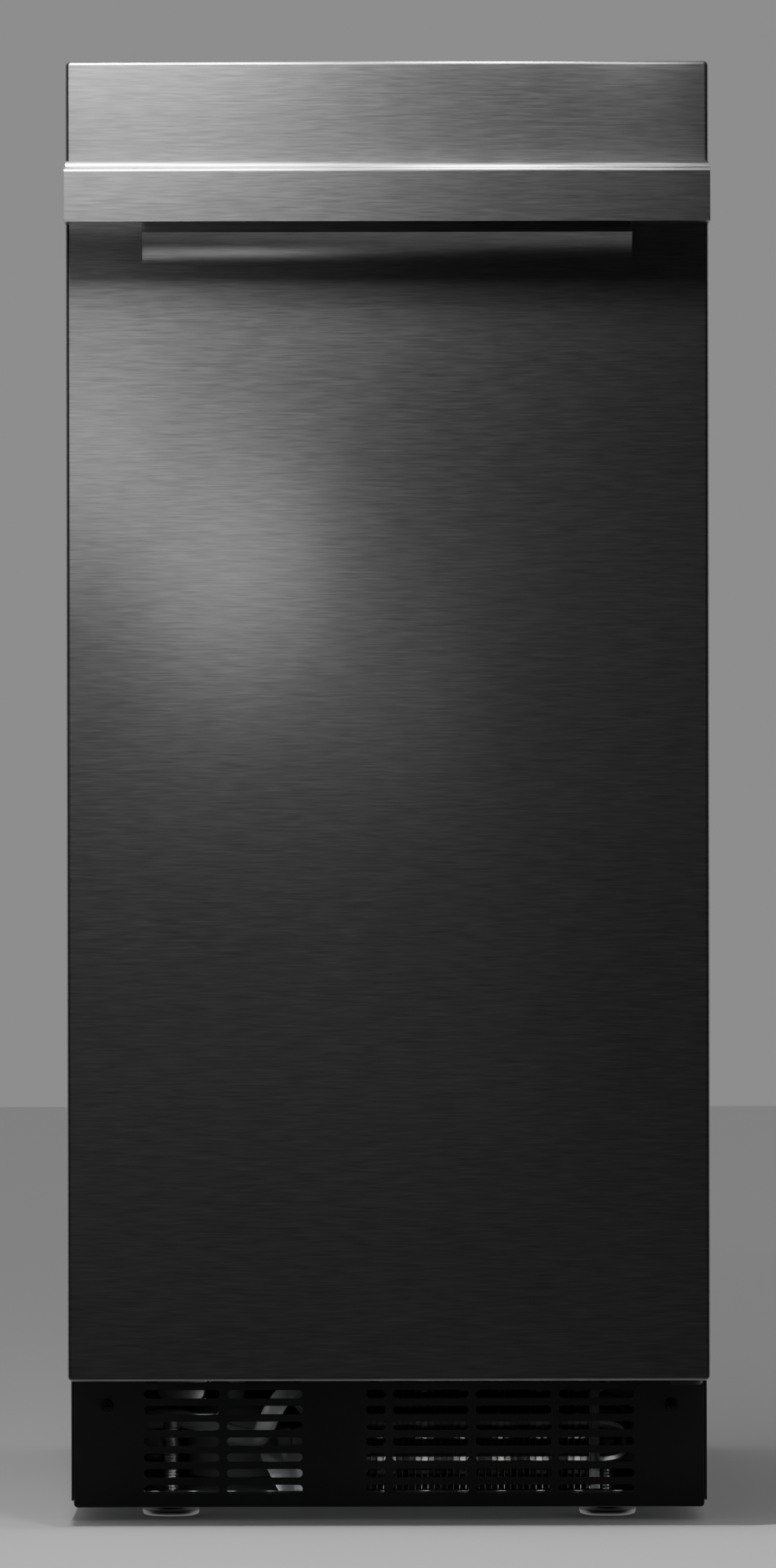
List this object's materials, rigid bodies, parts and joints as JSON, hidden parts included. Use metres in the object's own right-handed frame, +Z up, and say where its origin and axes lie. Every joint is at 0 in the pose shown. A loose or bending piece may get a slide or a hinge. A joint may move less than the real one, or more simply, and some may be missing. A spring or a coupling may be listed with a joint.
{
  "type": "undercounter ice maker",
  "caption": "Undercounter clear-ice maker with a right-hinged brushed steel door, full-width handle ledge, slotted toe grille, insulated ice bin, tilted evaporator and compressor.",
  "frame": {"origin": "centre of the whole footprint on the floor the feet stand on", "axes": "+Z up, -Y out of the door (front), +X to the right-hand side where the door is hinged, seen from the front"},
  "size_m": [0.378, 0.644, 0.8668],
  "materials": {
    "black_paint": "satin black enamel",
    "liner_plastic": "satin vacuum-formed plastic",
    "foam": "rigid foam",
    "galvanised": "galvanised sheet",
    "grille_paint": "matte black powder coat",
    "screw_black": "black oxide",
    "leg_steel": "zinc plated",
    "brushed_steel": "horizontal brushed",
    "gasket": "soft vinyl",
    "black_plastic": "satin moulded",
    "nylon": "natural nylon",
    "plated_steel": "nickel plated",
    "copper": "drawn copper",
    "grey_plastic": "satin moulded",
    "clear_vinyl": "translucent",
    "circuit_board": "solder mask",
    "lens": "frosted",
    "scoop_plastic": "translucent polycarbonate",
    "button_plastic": "satin",
    "fins": "dark mill finish",
    "motor_paint": "grey enamel",
    "compressor_paint": "gloss black enamel"
  },
  "bodies": {
    "cabinet": {"cabinet_wrapper": "black_paint", "cabinet_liner": "liner_plastic", "ice_bin": "liner_plastic", "cabinet_foam": "foam", "compartment_ceiling": "galvanised", "rear_panel": "galvanised", "rear_vent_cover": "galvanised", "base_pan": "galvanised", "toe_grille": "grille_paint", "toe_screw_left": "screw_black", "toe_screw_right": "screw_black", "top_hinge": "black_paint", "bottom_hinge": "black_paint", "evaporator_plate": "plated_steel", "evaporator_tubing": "copper", "water_distributor": "grey_plastic", "cutter_grid": "grey_plastic", "water_pan": "grey_plastic", "water_pump": "black_plastic", "pump_hose": "clear_vinyl", "control_housing": "grey_plastic", "control_fascia": "black_plastic", "control_board": "circuit_board", "light_lens": "lens", "scoop_holder": "liner_plastic", "bin_drain": "grey_plastic", "condenser_core": "fins", "condenser_end_plate": "galvanised", "fan_shroud": "galvanised", "fan_motor": "motor_paint", "compressor": "compressor_paint", "filter_drier": "copper", "discharge_line": "copper", "suction_line": "copper", "water_inlet_valve": "nylon", "water_supply_tube": "clear_vinyl", "drain_pump": "grey_plastic", "drain_hose": "clear_vinyl", "cord_gland": "black_plastic", "service_bracket": "galvanised", "junction_box": "black_plastic"},
    "door": {"door_skin": "brushed_steel", "door_handle": "brushed_steel", "door_foam": "foam", "door_inner_panel": "liner_plastic", "door_gasket": "gasket", "door_cap_top": "black_plastic", "door_cap_bottom": "black_plastic", "hinge_bush_top": "nylon", "hinge_bush_bottom": "nylon"},
    "fan": {"fan_blade": "black_plastic"},
    "impeller": {"pump_impeller": "nylon"},
    "power_button": {"power_button": "button_plastic"},
    "clean_button": {"clean_button": "button_plastic"},
    "light_button": {"light_button": "button_plastic"},
    "scoop": {"scoop": "scoop_plastic"},
    "leg_front_left": {"leveling_leg_front_left": "leg_steel"},
    "leg_front_right": {"leveling_leg_front_right": "leg_steel"},
    "leg_rear_left": {"leveling_leg_rear_left": "leg_steel"},
    "leg_rear_right": {"leveling_leg_rear_right": "leg_steel"}
  },
  "joints": [
    {"name": "door_hinge", "type": "hinge", "parent": "cabinet", "child": "door", "pos_m": [0.175, -0.262, 0.475], "axis": [0, 0, 1], "range_deg": [0, 110]},
    {"name": "fan_spin", "type": "hinge", "parent": "cabinet", "child": "fan", "pos_m": [0.082, 0.041, 0.112], "axis": [0, 1, 0], "continuous": true},
    {"name": "impeller_spin", "type": "hinge", "parent": "cabinet", "child": "impeller", "pos_m": [-0.124, 0.034, 0.62], "axis": [0, 0, 1], "continuous": true},
    {"name": "power_button_press", "type": "slide", "parent": "cabinet", "child": "power_button", "axis": [0, 1, 0], "range_m": [0, 0.0012], "stiffness_N_per_m": 400, "springref_m": -0.0005},
    {"name": "clean_button_press", "type": "slide", "parent": "cabinet", "child": "clean_button", "axis": [0, 1, 0], "range_m": [0, 0.0012], "stiffness_N_per_m": 400, "springref_m": -0.0005},
    {"name": "light_button_press", "type": "slide", "parent": "cabinet", "child": "light_button", "axis": [0, 1, 0], "range_m": [0, 0.0012], "stiffness_N_per_m": 400, "springref_m": -0.0005},
    {"name": "scoop_lift", "type": "slide", "parent": "cabinet", "child": "scoop", "axis": [0, 0, 1], "range_m": [0, 0.08]},
    {"name": "leg_front_left_screw", "type": "slide", "parent": "cabinet", "child": "leg_front_left", "axis": [0, 0, -1], "range_m": [0, 0.02]},
    {"name": "leg_front_right_screw", "type": "slide", "parent": "cabinet", "child": "leg_front_right", "axis": [0, 0, -1], "range_m": [0, 0.02]},
    {"name": "leg_rear_left_screw", "type": "slide", "parent": "cabinet", "child": "leg_rear_left", "axis": [0, 0, -1], "range_m": [0, 0.02]},
    {"name": "leg_rear_right_screw", "type": "slide", "parent": "cabinet", "child": "leg_rear_right", "axis": [0, 0, -1], "range_m": [0, 0.02]}
  ]
}
